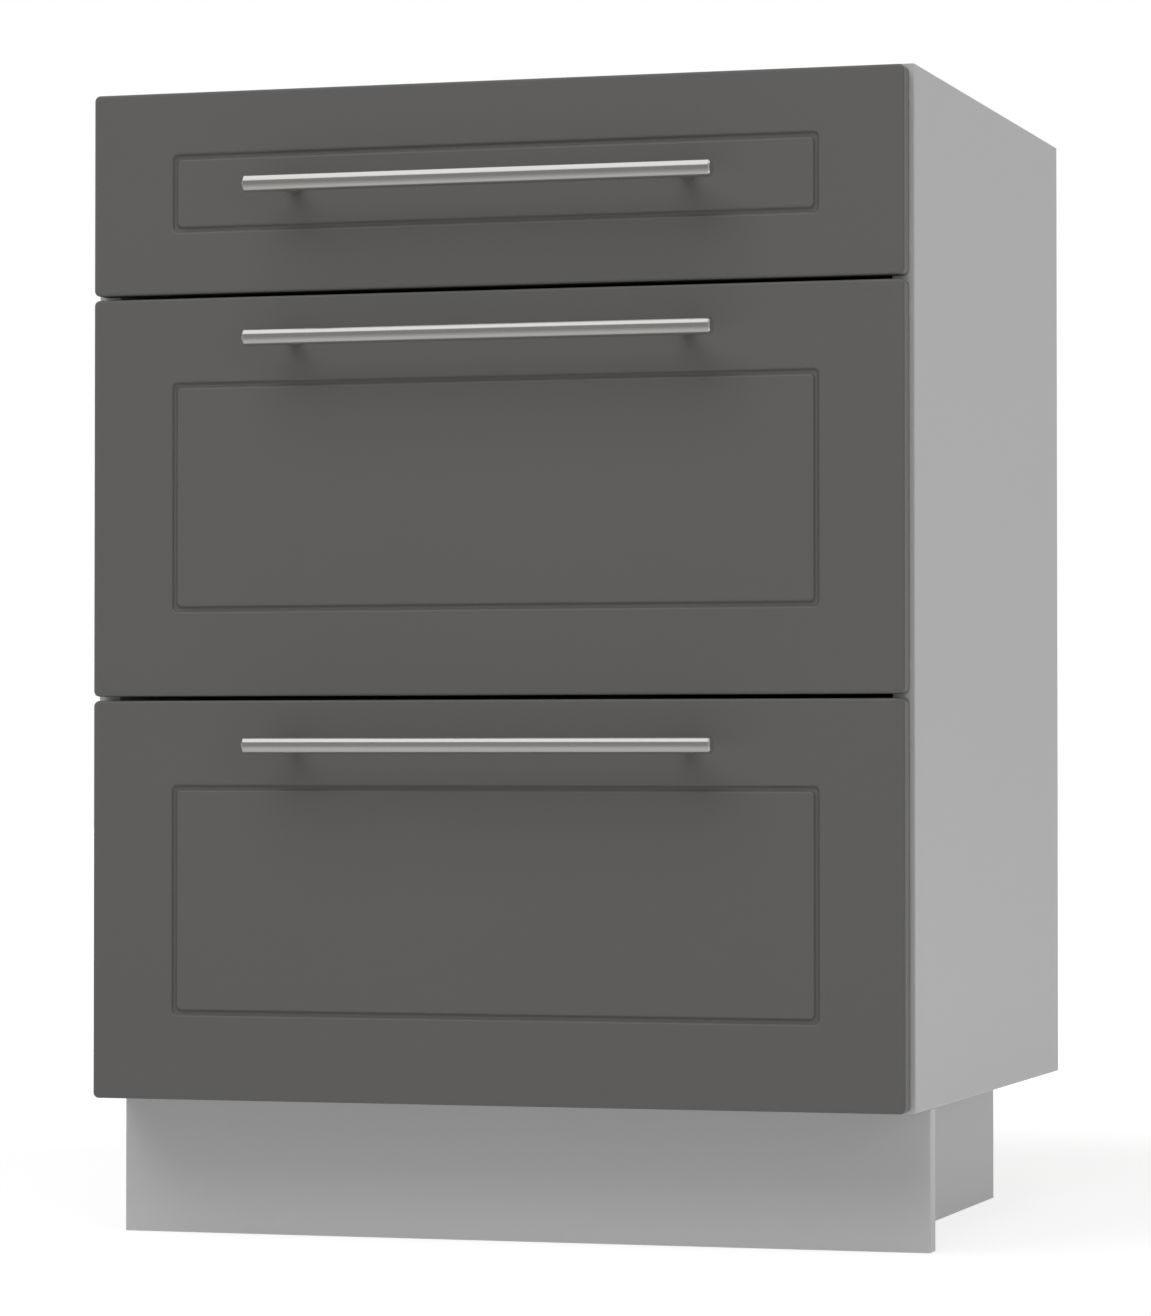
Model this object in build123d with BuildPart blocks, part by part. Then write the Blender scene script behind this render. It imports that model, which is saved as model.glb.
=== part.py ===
"""Kitchen base cabinet, 600 mm wide, with one low and two deep drawers on roller runners.

Millimetres, +Z up. The origin is on the floor, under the middle of the whole cabinet.
+X is to the right and -Y to the front, as seen by someone who stands before the drawers.
"""

import os

from build123d import *

# ---------------------------------------------------------------- driving dimensions
cabinet_width = 600.0
cabinet_height = 820.0
carcass_depth = 500.0
plinth_height = 100.0
board = 16.0  # melamine-faced chipboard, used for the whole carcass
edge_rounding = 0.8  # edge banding of every board

front_width = 594.0
front_thickness = 16.0
low_front_height = 144.0
deep_front_height = 283.5
front_spacing = 3.0
front_reveal = 0.5  # from the carcass's underside to the lowest front
front_gap = 3.0  # between a closed front and the carcass
front_corner = 4.0
front_rounding = 2.0
bumper_radius = 4.0
bumper_thickness = 2.5
bumper_inset = 20.0  # from the top and bottom edges of the front it meets

groove_width = 4.4  # between its walls
groove_depth = 2.4
groove_lip = 1.3  # rounding of the walls into the front's face
groove_foot = 1.0  # rounding of the walls into the groove's floor
groove_corner = 3.5  # of both walls
groove_inset = 62.0  # from a deep front's edges to the middle of the groove
low_groove_inset = 46.0  # from the top and bottom of the low front

bar_length = 340.0
bar_height = 12.0
bar_thickness = 12.0
bar_rounding = 5.6  # along the bar
bar_chamfer = 1.0  # round its ends
bar_standoff = 34.0  # from the front to the bar's axis
post_spacing = 288.0
post_radius = 5.0
deep_handle_drop = 32.0  # from a deep front's top edge to the bar's axis
low_handle_drop = 71.0

back_thickness = 3.0
back_setback = 17.0  # from the cabinet's rear to the back panel
back_tongue = 5.5
rail_width = 100.0
worktop_hole_radius = 2.5
worktop_hole_spacing = 400.0

plinth_width = 598.0
plinth_setback = 69.0  # behind the faces of the drawer fronts
plinth_side_span = 497.0  # over the outer faces of the two side boards
plinth_rear_setback = 30.0
corner_block = 24.0

drawer_depth = 450.0
drawer_lift = 27.5  # from a front's bottom edge to the underside of its drawer
low_side_height = 86.0
deep_side_height = 118.0
low_back_height = 66.0
deep_back_height = 176.0
gallery_height = 180.0  # of the gallery rails over a deep drawer's underside
tray_inset = 2.0  # from the rear ends of the drawer sides to the drawer's back
sheet = 1.2  # sheet steel of runners and drawer sides
bend = 1.6

wall_reach = 270.0  # from the middle of the cabinet to a drawer side's outer face
ledge_reach = 281.5
shelf_reach = 257.0
ledge_lip = 8.0
channel_height = 26.4
channel_flange = 12.0
flange_height = 20.6  # of the drawer side's runner flange over its underside
roller_radius = 10.0
roller_width = 7.8
roller_rounding = 0.8
running_clearance = 0.05
roller_play = 0.3  # between a roller and what it rolls past
roller_offset = 3.5  # from a drawer side's wall to its rear roller
axle_radius = 2.5
axle_head_radius = 4.0
front_roller_inset = 18.0
rear_roller_inset = 14.0

screw_radius = 1.75
screw_head_radius = 3.5
screw_head_height = 1.75
screw_tip = 3.0
screw_point = 0.3

# ---------------------------------------------------------------- places worked out from them
half_width = cabinet_width / 2
inner_face = half_width - board
bar_reach = bar_standoff + bar_thickness / 2
overall_depth = bar_reach + front_thickness + front_gap + carcass_depth
front_y = bar_reach - overall_depth / 2
drawer_y = front_y + front_thickness
carcass_y = drawer_y + front_gap
rear_y = overall_depth / 2
bottom_top_z = plinth_height + board
plinth_y = front_y + plinth_setback
back_y = rear_y - back_setback - back_thickness
side_end_y = drawer_y + drawer_depth
roller_lift = roller_radius + roller_play  # of a roller's axis over a drawer's underside
front_roller_y = carcass_y + front_roller_inset
rear_roller_y = side_end_y - rear_roller_inset
roller_inner = wall_reach + roller_offset
roller_outer = roller_inner + roller_width
wall_inner = wall_reach - sheet
tray_end_y = side_end_y - tray_inset

bottom_front_z = plinth_height + front_reveal
middle_front_z = bottom_front_z + deep_front_height + front_spacing
top_front_z = middle_front_z + deep_front_height + front_spacing

sides = (("left", -1), ("right", 1))
front_spans = {  # from the bottom edge to the top edge of each front
    "top": (top_front_z, top_front_z + low_front_height),
    "middle": (middle_front_z, middle_front_z + deep_front_height),
    "bottom": (bottom_front_z, bottom_front_z + deep_front_height),
}
drawer_levels = {name: span[0] + drawer_lift for name, span in front_spans.items()}

os.makedirs("parts", exist_ok=True)


# ---------------------------------------------------------------- shared shapes
def save(piece, name):
    """Label a finished sub-part and write it."""
    piece.part.label = name
    export_step(piece.part, f"parts/{name}.step")


def block(x_range, y_range, z_range, mode=Mode.ADD):
    """A box between two corners, in the sub-part being made."""
    ranges = (x_range, y_range, z_range)
    with Locations(tuple(sum(span) / 2 for span in ranges)):
        Box(*(abs(span[1] - span[0]) for span in ranges), mode=mode)


def upright(y):
    """The plane that faces the front at y, with X to the right and Z up."""
    return Plane.XZ.offset(-y)


def facing(point, direction):
    """A plane at a point whose normal points along a direction."""
    return Plane(origin=point, z_dir=direction)


def rods(places, radius, length, rise=0.0, mode=Mode.ADD):
    """Round bars that go inwards from each place, starting at a rise over it."""
    with Locations(*places):
        with Locations((0, 0, rise)):
            Cylinder(radius, length, align=(Align.CENTER, Align.CENTER, Align.MAX), mode=mode)


def screws(places, length, mode=Mode.ADD):
    """Countersunk chipboard screws, heads flush with each place, points inwards."""
    rods(places, screw_radius, length - screw_tip, mode=mode)
    with Locations(*places):
        Cone(
            screw_radius,
            screw_head_radius,
            screw_head_height,
            align=(Align.CENTER, Align.CENTER, Align.MAX),
            mode=mode,
        )
        with Locations((0, 0, screw_tip - length)):
            Cone(
                screw_point,
                screw_radius,
                screw_tip,
                align=(Align.CENTER, Align.CENTER, Align.MAX),
                mode=mode,
            )


def cross_recesses(places, width=4.0, thickness=0.9, depth=1.1):
    """The crossed slots for the driver in each screw head."""
    with Locations(*places):
        for size in ((width, thickness), (thickness, width)):
            Box(*size, depth, align=(Align.CENTER, Align.CENTER, Align.MAX), mode=Mode.SUBTRACT)


# ---------------------------------------------------------------- places of the carcass fittings
rail_spans = {
    "front": (carcass_y, carcass_y + rail_width),
    "rear": (back_y - rail_width, back_y),
}
rail_underside = cabinet_height - board
half_board = board / 2

# each joint: the y of its dowels, the y of its cams, and the underside of its board
dowel_inset = 25.0  # along the side panel, from a board's edge
cam_inset = 65.0
joints = (
    (
        (carcass_y + dowel_inset, rear_y - 2 * dowel_inset),
        (carcass_y + cam_inset, rear_y - 2 * cam_inset),
        plinth_height,
    ),
    *(
        ((span[0] + dowel_inset,), (span[0] + cam_inset,), rail_underside)
        for span in rail_spans.values()
    ),
)
dowel_radius = 4.0
dowel_length = 30.0
dowel_in_side = 10.0
cam_radius = 7.5
cam_height = 12.5
cam_reach = 24.0  # from the board's end to the cam's axis
bolt_radius = 2.5
bolt_head_radius = 3.2
bolt_head_length = 3.0
bolt_in_side = 10.5
bolt_tunnel_radius = 4.0


def joint_places(which, sign, depth_in_side):
    """Planes in one side panel, facing the middle of the cabinet, for dowels or bolts."""
    x = sign * (inner_face + depth_in_side)
    return [
        facing((x, y, joint[2] + half_board), (sign, 0, 0))
        for joint in joints
        for y in joint[which]
    ]


def cam_places(sign):
    """Planes on the undersides of the bottom panel and rails, facing down, for the cams."""
    x = sign * (inner_face - cam_reach)
    return [facing((x, y, joint[2]), (0, 0, -1)) for joint in joints for y in joint[1]]


def joint_bores():
    """The bores that dowels, bolts and cams need in the board being made."""
    for _, sign in sides:
        rods(joint_places(0, sign, dowel_in_side), dowel_radius, dowel_length, mode=Mode.SUBTRACT)
        rods(joint_places(1, sign, 0), bolt_tunnel_radius, cam_reach, mode=Mode.SUBTRACT)
        rods(cam_places(sign), cam_radius, cam_height, mode=Mode.SUBTRACT)


# ---------------------------------------------------------------- places of the screws
runner_inset = 3.0  # from the carcass's front edge to the runner profiles
runner_screws_along = (52.0, 212.0, 404.0)
runner_screw_length = 14.0
block_screw_length = corner_block + 11.0


def runner_screw_places(sign):
    """Three screws through each runner profile's web into the side panel."""
    x = sign * (inner_face - sheet)
    return [
        facing((x, carcass_y + along, level + channel_height / 2 - sheet), (-sign, 0, 0))
        for level in drawer_levels.values()
        for along in runner_screws_along
    ]


block_outer = plinth_side_span / 2 - board
block_inner = block_outer - corner_block
upper_block_y = (plinth_y + 120, rear_y - 140)
front_block_z = (plinth_height / 2 - corner_block / 2, plinth_height / 2 + corner_block / 2)
side_screw_y = 7.0  # within a corner block, from its front
bottom_screw_y = 17.0
side_screw_z = 5.0  # from a corner block's underside
front_screw_z = 18.0


def block_screw_places(sign):
    """Screws of the plinth's corner blocks: into the side boards, the front and the bottom."""
    side_board = [
        facing((sign * block_inner, y + side_screw_y, z + side_screw_z), (-sign, 0, 0))
        for y, z in (
            (plinth_y + board, front_block_z[0]),
            (upper_block_y[0], plinth_height - corner_block),
            (upper_block_y[1], plinth_height - corner_block),
        )
    ]
    x = sign * (block_inner + corner_block / 2)
    front_board = facing(
        (x, plinth_y + board + corner_block, front_block_z[0] + front_screw_z), (0, 1, 0)
    )
    bottom = [
        facing((x, y + bottom_screw_y, plinth_height - corner_block), (0, 0, -1))
        for y in upper_block_y
    ]
    return side_board + [front_board] + bottom


# ---------------------------------------------------------------- carcass
for side, sign in sides:
    outer_x = sign * half_width
    with BuildPart() as side_panel:
        block(
            (sign * inner_face, outer_x), (carcass_y, rear_y), (plinth_height, cabinet_height)
        )
        fillet(side_panel.edges(), edge_rounding)
        block(
            (sign * inner_face, sign * (inner_face + back_tongue)),
            (back_y, back_y + back_thickness),
            (plinth_height, cabinet_height),
            mode=Mode.SUBTRACT,
        )
        rods(joint_places(0, sign, dowel_in_side), dowel_radius, dowel_length, mode=Mode.SUBTRACT)
        rods(joint_places(1, sign, bolt_in_side), bolt_radius, board, mode=Mode.SUBTRACT)
        screws(runner_screw_places(sign), runner_screw_length, mode=Mode.SUBTRACT)
    save(side_panel, f"side_panel_{side}")

with BuildPart() as bottom_panel:
    block((-inner_face, inner_face), (carcass_y, rear_y), (plinth_height, bottom_top_z))
    fillet(bottom_panel.edges().filter_by(Axis.X), edge_rounding)
    block(
        (-inner_face, inner_face),
        (back_y, back_y + back_thickness),
        (bottom_top_z - back_tongue, bottom_top_z),
        mode=Mode.SUBTRACT,
    )
    joint_bores()
    for _, sign in sides:
        screws(block_screw_places(sign), block_screw_length, mode=Mode.SUBTRACT)
save(bottom_panel, "bottom_panel")

worktop_holes = [
    facing((sign * worktop_hole_spacing / 2, sum(span) / 2, cabinet_height), (0, 0, 1))
    for span in rail_spans.values()
    for _, sign in sides
]
for where, span in rail_spans.items():
    with BuildPart() as top_rail:
        block((-inner_face, inner_face), span, (rail_underside, cabinet_height))
        fillet(top_rail.edges().filter_by(Axis.X), edge_rounding)
        joint_bores()
        rods(worktop_holes, worktop_hole_radius, board, mode=Mode.SUBTRACT)
    save(top_rail, f"top_rail_{where}")

with BuildPart() as back_panel:
    tongue_reach = inner_face + back_tongue
    block(
        (-tongue_reach, tongue_reach),
        (back_y, back_y + back_thickness),
        (bottom_top_z - back_tongue, cabinet_height - edge_rounding),
    )
save(back_panel, "back_panel")

with BuildPart() as carcass_dowels:
    for _, sign in sides:
        rods(joint_places(0, sign, dowel_in_side), dowel_radius, dowel_length)
    fillet(carcass_dowels.edges(), edge_rounding)
save(carcass_dowels, "carcass_dowels")

with BuildPart() as cam_fittings:
    for _, sign in sides:
        rods(cam_places(sign), cam_radius, cam_height)
        cross_recesses(cam_places(sign), width=8.0, thickness=1.6, depth=2.5)
        rods(joint_places(1, sign, 0), bolt_tunnel_radius, cam_reach + 3, mode=Mode.SUBTRACT)
    for _, sign in sides:
        rods(joint_places(1, sign, bolt_in_side), bolt_radius, bolt_in_side + cam_reach)
        rods(joint_places(1, sign, 1 - cam_reach), bolt_head_radius, bolt_head_length)
save(cam_fittings, "cam_fittings")

# ---------------------------------------------------------------- plinth
with BuildPart() as plinth_front:
    block(
        (-plinth_width / 2, plinth_width / 2), (plinth_y, plinth_y + board), (0, plinth_height)
    )
    fillet(plinth_front.edges(), edge_rounding)
    for _, sign in sides:
        screws(block_screw_places(sign), block_screw_length, mode=Mode.SUBTRACT)
save(plinth_front, "plinth_front")

for side, sign in sides:
    with BuildPart() as plinth_side:
        block(
            (sign * block_outer, sign * plinth_side_span / 2),
            (plinth_y + board, rear_y),
            (0, plinth_height),
        )
        fillet(plinth_side.edges().group_by(Axis.Y)[-1], edge_rounding)
        screws(block_screw_places(sign), block_screw_length, mode=Mode.SUBTRACT)
    save(plinth_side, f"plinth_side_{side}")

with BuildPart() as plinth_rear:
    rear_board_y = rear_y - plinth_rear_setback
    block((-block_outer, block_outer), (rear_board_y - board, rear_board_y), (0, plinth_height))
save(plinth_rear, "plinth_rear")

with BuildPart() as plinth_blocks:
    for _, sign in sides:
        x_range = (sign * block_inner, sign * block_outer)
        block(x_range, (plinth_y + board, plinth_y + board + corner_block), front_block_z)
        for y in upper_block_y:
            block(x_range, (y, y + corner_block), (plinth_height - corner_block, plinth_height))
    fillet(plinth_blocks.edges(), edge_rounding)
    for _, sign in sides:
        screws(block_screw_places(sign), block_screw_length, mode=Mode.SUBTRACT)
save(plinth_blocks, "plinth_blocks")

with BuildPart() as carcass_screws:
    for _, sign in sides:
        screws(runner_screw_places(sign), runner_screw_length)
        cross_recesses(runner_screw_places(sign))
        screws(block_screw_places(sign), block_screw_length)
        cross_recesses(block_screw_places(sign))
save(carcass_screws, "carcass_screws")

with BuildPart() as front_bumpers:
    for bottom_z, top_z in front_spans.values():
        rods(
            [
                facing((sign * (half_width - half_board), carcass_y, z), (0, 1, 0))
                for _, sign in sides
                for z in (bottom_z + bumper_inset, top_z - bumper_inset)
            ],
            bumper_radius,
            bumper_thickness,
        )
    fillet(front_bumpers.edges().group_by(Axis.Y)[0], edge_rounding)
save(front_bumpers, "front_bumpers")


# ---------------------------------------------------------------- runners
def channel_outline(sign, level):
    """The middle of the runner profile's sheet, in (x, z), open towards the drawer."""
    web = sign * (inner_face - sheet / 2)
    edge = sign * (inner_face - channel_flange)
    low = level - sheet / 2
    high = low + channel_height - sheet
    return (edge, low), (web, low), (web, high), (edge, high)


def front_axle_places(sign):
    """Planes on the outer faces of the runner profiles' webs, facing the side panels."""
    return [
        facing((sign * inner_face, front_roller_y, level + roller_lift), (sign, 0, 0))
        for level in drawer_levels.values()
    ]


for name, level in drawer_levels.items():
    for side, sign in sides:
        with BuildPart() as runner:
            with BuildSketch(upright(carcass_y + runner_inset)):
                with BuildLine():
                    FilletPolyline(*channel_outline(sign, level), radius=bend)
                trace(line_width=sheet)
            extrude(amount=-drawer_depth)
            screws(runner_screw_places(sign), runner_screw_length, mode=Mode.SUBTRACT)
            rods(front_axle_places(sign), axle_radius, 2 * sheet, mode=Mode.SUBTRACT)
        save(runner, f"{name}_runner_{side}")

axle_gap = 0.3  # on both faces of a roller
axle_head = 0.9

with BuildPart() as front_axles:
    shank = inner_face - roller_inner + axle_gap
    shoulder = inner_face - sheet - roller_outer - axle_gap
    for _, sign in sides:
        places = front_axle_places(sign)
        rods(places, axle_radius, shank)
        rods(places, axle_head_radius, shoulder, rise=-sheet)
        rods(places, axle_head_radius, axle_head, rise=-shank)
save(front_axles, "front_roller_axles")


def make_rollers(name, y, level):
    """A left and a right nylon roller on one line across the cabinet."""
    with BuildPart() as rollers:
        places = [
            facing((sign * roller_outer, y, level + roller_lift), (sign, 0, 0))
            for _, sign in sides
        ]
        rods(places, roller_radius, roller_width)
        fillet(rollers.edges(), roller_rounding)
        rods(places, axle_radius + running_clearance, roller_width, mode=Mode.SUBTRACT)
    save(rollers, name)


for name, level in drawer_levels.items():
    make_rollers(f"{name}_front_rollers", front_roller_y, level)
    make_rollers(f"{name}_rear_rollers", rear_roller_y, level)

# ---------------------------------------------------------------- drawers
bracket_plate = 1.5
bracket_depth = 26.0
bracket_reach = 11.5
bracket_margin = 4.0  # over the runner and under the ledge's lip
bracket_screw_inset = 8.0
bracket_screw_reach = 6.5
bracket_screw_length = bracket_plate + 12.0
shelf_screws_along = (60.0, 225.0, 390.0)
shelf_screw_length = 14.0
back_screws_up = (22.0, 52.0)
back_screw_length = 30.0
socket_radius = 6.5
socket_length = 14.0
gallery_radius = 4.5
gallery_bore = 4.7
gallery_reach = 275.0
socket_floor = 2.0
clip_height = 18.0
clip_bore = 10.0
gallery_play = 1.0  # at both ends of a gallery rail
handle_screw_radius = 2.0
handle_hole_play = 0.5
handle_screw_length = front_thickness + 14.0
handle_head_radius = 4.0
handle_head_height = 2.2


def side_outline(sign, level, height):
    """The middle of a drawer side's sheet, in (x, z): shelf, wall, ledge and lip."""
    half_sheet = sheet / 2
    wall = sign * (wall_reach - half_sheet)
    lip = sign * (ledge_reach - half_sheet)
    low = level + half_sheet
    high = level + height - half_sheet
    shelf = sign * shelf_reach
    return (shelf, low), (wall, low), (wall, high), (lip, high), (lip, high - ledge_lip)


def bar_body(handle_z, mode=Mode.ADD):
    """The bar of a handle, in the sub-part being made."""
    with BuildSketch(Plane.YZ.offset(-bar_length / 2)) as section:
        with Locations((front_y - bar_standoff, handle_z)):
            RectangleRounded(bar_thickness, bar_height, bar_rounding)
    extrude(section.sketch, amount=bar_length, mode=mode)


def make_drawer(name, inset_z, handle_drop, side_height, back_height):
    """One drawer: front, handle, steel sides, board bottom and back, brackets and fasteners."""
    bottom_z, top_z = front_spans[name]
    front_height = top_z - bottom_z
    middle_z = (bottom_z + top_z) / 2
    level = drawer_levels[name]
    tray_floor = level + sheet
    tray_top = tray_floor + board
    back_top = tray_top + back_height
    handle_z = top_z - handle_drop
    post_places = [
        facing((sign * post_spacing / 2, front_y, handle_z), (0, 1, 0)) for _, sign in sides
    ]
    screw_seats = [
        facing((sign * post_spacing / 2, drawer_y, handle_z), (0, 1, 0)) for _, sign in sides
    ]
    bracket_z = (
        level + channel_height + bracket_margin,
        level + side_height - ledge_lip - bracket_margin,
    )
    bracket_screws = [
        facing((sign * (wall_reach + bracket_screw_reach), drawer_y + bracket_plate, z), (0, 1, 0))
        for _, sign in sides
        for z in (bracket_z[0] + bracket_screw_inset, bracket_z[1] - bracket_screw_inset)
    ]
    shelf_middle = (shelf_reach + wall_inner) / 2
    shelf_screws = [
        facing((sign * shelf_middle, drawer_y + along, level), (0, 0, -1))
        for _, sign in sides
        for along in shelf_screws_along
    ]
    back_screws = [
        facing((sign * wall_reach, tray_end_y - half_board, tray_top + z), (sign, 0, 0))
        for _, sign in sides
        for z in back_screws_up
    ]
    rear_axles = [
        facing((sign * wall_inner, rear_roller_y, level + roller_lift), (-sign, 0, 0))
        for _, sign in sides
    ]

    with BuildPart() as front:
        with BuildSketch(upright(front_y)):
            with Locations((0, middle_z)):
                RectangleRounded(front_width, front_height, front_corner)
        extrude(amount=-front_thickness)
        fillet(front.edges().group_by(Axis.Y)[0], front_rounding)
        fillet(front.edges().group_by(Axis.Y)[-1], edge_rounding)
        half_x = front_width / 2 - groove_inset
        half_z = front_height / 2 - inset_z
        with BuildSketch(upright(front_y)):
            with Locations((0, middle_z)):
                for over, mode in ((groove_width, Mode.ADD), (-groove_width, Mode.SUBTRACT)):
                    RectangleRounded(
                        2 * half_x + over, 2 * half_z + over, groove_corner, mode=mode
                    )
        extrude(amount=-groove_depth, mode=Mode.SUBTRACT)
        reach_x = half_x + groove_width
        reach_z = half_z + groove_width
        for radius, depth in ((groove_foot, groove_depth), (groove_lip, 0)):
            groove_edges = (
                front.edges()
                .filter_by_position(Axis.X, -reach_x, reach_x)
                .filter_by_position(Axis.Z, middle_z - reach_z, middle_z + reach_z)
                .group_by(lambda edge: round(edge.center().Y - front_y, 3))
            )
            fillet(groove_edges.group(depth), radius)
        rods(
            screw_seats,
            handle_screw_radius + handle_hole_play,
            front_thickness,
            mode=Mode.SUBTRACT,
        )
        screws(bracket_screws, bracket_screw_length, mode=Mode.SUBTRACT)
    save(front, f"{name}_drawer_front")

    with BuildPart() as handle_bar:
        bar_body(handle_z)
        ends = handle_bar.edges().group_by(Axis.X)
        chamfer(ends[0] + ends[-1], bar_chamfer)
    save(handle_bar, f"{name}_handle_bar")

    with BuildPart() as handle_posts:
        rods(post_places, post_radius, bar_standoff)
        bar_body(handle_z, mode=Mode.SUBTRACT)
        rods(screw_seats, handle_screw_radius, handle_screw_length, mode=Mode.SUBTRACT)
    save(handle_posts, f"{name}_handle_posts")

    with BuildPart() as handle_screws:
        rods(screw_seats, handle_screw_radius, handle_screw_length)
        rods(screw_seats, handle_head_radius, handle_head_height, rise=handle_head_height)
        head_places = [place.offset(handle_head_height) for place in screw_seats]
        cross_recesses(head_places)
    save(handle_screws, f"{name}_handle_screws")

    for side, sign in sides:
        with BuildPart() as drawer_side:
            with BuildSketch(upright(drawer_y)):
                with BuildLine():
                    FilletPolyline(*side_outline(sign, level, side_height), radius=bend)
                trace(line_width=sheet)
                flange_x = (wall_reach - sheet / 2, ledge_reach)
                with Locations((sign * sum(flange_x) / 2, level + flange_height + sheet / 2)):
                    Rectangle(flange_x[1] - flange_x[0], sheet)
            extrude(amount=-drawer_depth)
            rods(rear_axles, axle_radius, 2 * sheet, mode=Mode.SUBTRACT)
            screws(shelf_screws, shelf_screw_length, mode=Mode.SUBTRACT)
            screws(back_screws, back_screw_length, mode=Mode.SUBTRACT)
        save(drawer_side, f"{name}_drawer_side_{side}")

    with BuildPart() as tray:
        block(
            (-wall_inner, wall_inner), (drawer_y, tray_end_y), (tray_floor, tray_top)
        )
        fillet(tray.edges().filter_by(Axis.Y).group_by(Axis.Z)[0], bend)
        screws(shelf_screws, shelf_screw_length, mode=Mode.SUBTRACT)
    save(tray, f"{name}_drawer_bottom")

    with BuildPart() as drawer_back:
        block(
            (-wall_inner, wall_inner),
            (tray_end_y - board, tray_end_y),
            (tray_top, back_top),
        )
        fillet(drawer_back.edges().group_by(Axis.Z)[-1], edge_rounding)
        screws(back_screws, back_screw_length, mode=Mode.SUBTRACT)
    save(drawer_back, f"{name}_drawer_back")

    with BuildPart() as brackets:
        for _, sign in sides:
            plate = (sign * wall_reach, sign * (wall_reach + bracket_reach))
            wing = (sign * wall_reach, sign * (wall_reach + bracket_plate))
            block(plate, (drawer_y, drawer_y + bracket_plate), bracket_z)
            block(wing, (drawer_y, drawer_y + bracket_depth), bracket_z)
        screws(bracket_screws, bracket_screw_length, mode=Mode.SUBTRACT)
    save(brackets, f"{name}_front_brackets")

    with BuildPart() as fasteners:
        for places, length in (
            (bracket_screws, bracket_screw_length),
            (shelf_screws, shelf_screw_length),
            (back_screws, back_screw_length),
        ):
            screws(places, length)
            cross_recesses(places)
        shank = roller_outer + axle_gap - wall_inner
        shoulder = roller_inner - axle_gap - wall_reach
        rods(rear_axles, axle_radius, shank)
        rods(rear_axles, axle_head_radius, shoulder, rise=-sheet)
        rods(rear_axles, axle_head_radius, axle_head, rise=-shank)
    save(fasteners, f"{name}_drawer_fasteners")

    if back_top > level + gallery_height:
        with BuildPart() as gallery:
            gallery_z = level + gallery_height
            for _, sign in sides:
                start = facing((sign * gallery_reach, drawer_y, gallery_z), (0, -1, 0))
                rods([start], socket_radius, socket_length)
                clip_y = (tray_end_y - board, tray_end_y)
                clip_x = (sign * wall_inner, sign * (gallery_reach + socket_radius))
                block(clip_x, clip_y, (gallery_z - clip_height / 2, gallery_z + clip_height / 2))
                bore = clip_y[0] + clip_bore - socket_floor - drawer_y
                rods([start], gallery_bore, bore, rise=-socket_floor, mode=Mode.SUBTRACT)
                rail = bore - 2 * gallery_play
                rods([start], gallery_radius, rail, rise=-socket_floor - gallery_play)
        save(gallery, f"{name}_gallery_rails")


make_drawer("top", low_groove_inset, low_handle_drop, low_side_height, low_back_height)
for name in ("middle", "bottom"):
    make_drawer(name, groove_inset, deep_handle_drop, deep_side_height, deep_back_height)
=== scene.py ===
"""Looks of a kitchen base cabinet with three drawers, built around its packed frame.

Metres, +Z up, +X to the right and -Y to the front, as in the frame. The file is laid out as
an add-on: each operator makes one piece or one group of like pieces, and main() calls them.
"""

import math

import bmesh
import bpy
from mathutils import Matrix, Vector


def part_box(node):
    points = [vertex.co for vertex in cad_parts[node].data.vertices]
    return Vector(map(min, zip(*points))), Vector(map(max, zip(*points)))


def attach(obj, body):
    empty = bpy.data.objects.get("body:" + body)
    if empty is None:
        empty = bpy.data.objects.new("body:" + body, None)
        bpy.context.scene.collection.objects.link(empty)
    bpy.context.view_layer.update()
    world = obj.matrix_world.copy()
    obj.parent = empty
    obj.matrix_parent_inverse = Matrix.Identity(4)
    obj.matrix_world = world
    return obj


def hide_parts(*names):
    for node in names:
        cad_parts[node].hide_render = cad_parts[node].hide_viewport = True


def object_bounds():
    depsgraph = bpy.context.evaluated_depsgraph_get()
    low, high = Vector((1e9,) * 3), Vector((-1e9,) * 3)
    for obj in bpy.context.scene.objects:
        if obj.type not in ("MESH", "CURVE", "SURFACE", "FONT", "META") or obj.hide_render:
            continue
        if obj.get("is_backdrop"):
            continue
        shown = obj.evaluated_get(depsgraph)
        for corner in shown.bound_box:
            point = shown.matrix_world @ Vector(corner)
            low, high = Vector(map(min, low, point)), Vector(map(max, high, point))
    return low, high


bl_info = {
    "name": "Base Cabinet With Drawers",
    "version": (1, 0, 0),
    "blender": (4, 5, 0),
    "location": "View3D > Sidebar > Cabinet",
    "description": "Finishes and fine shapes of a three-drawer kitchen base cabinet",
    "category": "Add Mesh",
}

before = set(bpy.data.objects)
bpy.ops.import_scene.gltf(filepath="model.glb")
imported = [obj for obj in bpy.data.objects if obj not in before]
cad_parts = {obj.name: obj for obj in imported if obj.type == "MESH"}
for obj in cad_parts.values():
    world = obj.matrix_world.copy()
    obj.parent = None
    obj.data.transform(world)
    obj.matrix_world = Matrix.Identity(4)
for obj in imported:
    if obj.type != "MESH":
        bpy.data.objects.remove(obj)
cad_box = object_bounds()

MM = 0.001
DRAWERS = ("top", "middle", "bottom")
SIDES = ("left", "right")
MERGE = 0.001 * MM  # vertices nearer than this are one
FLAT = math.radians(0.2)  # faces that meet at less than this are one flat face
LARGE_FACES = 100  # weight at which the largest faces lead the shading
MATHS = "ShaderNodeMath"  # one sum on values, in any kind of tree

# ---------------------------------------------------------------- the photograph's framing
PHOTO_HEIGHT = 1316  # pixels of its long side, which the sensor's width spans
FOCAL_PIXELS = 5024.9  # focal length of its camera, in the same pixels
CLIP_END = 100  # metres that the camera sees


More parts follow.
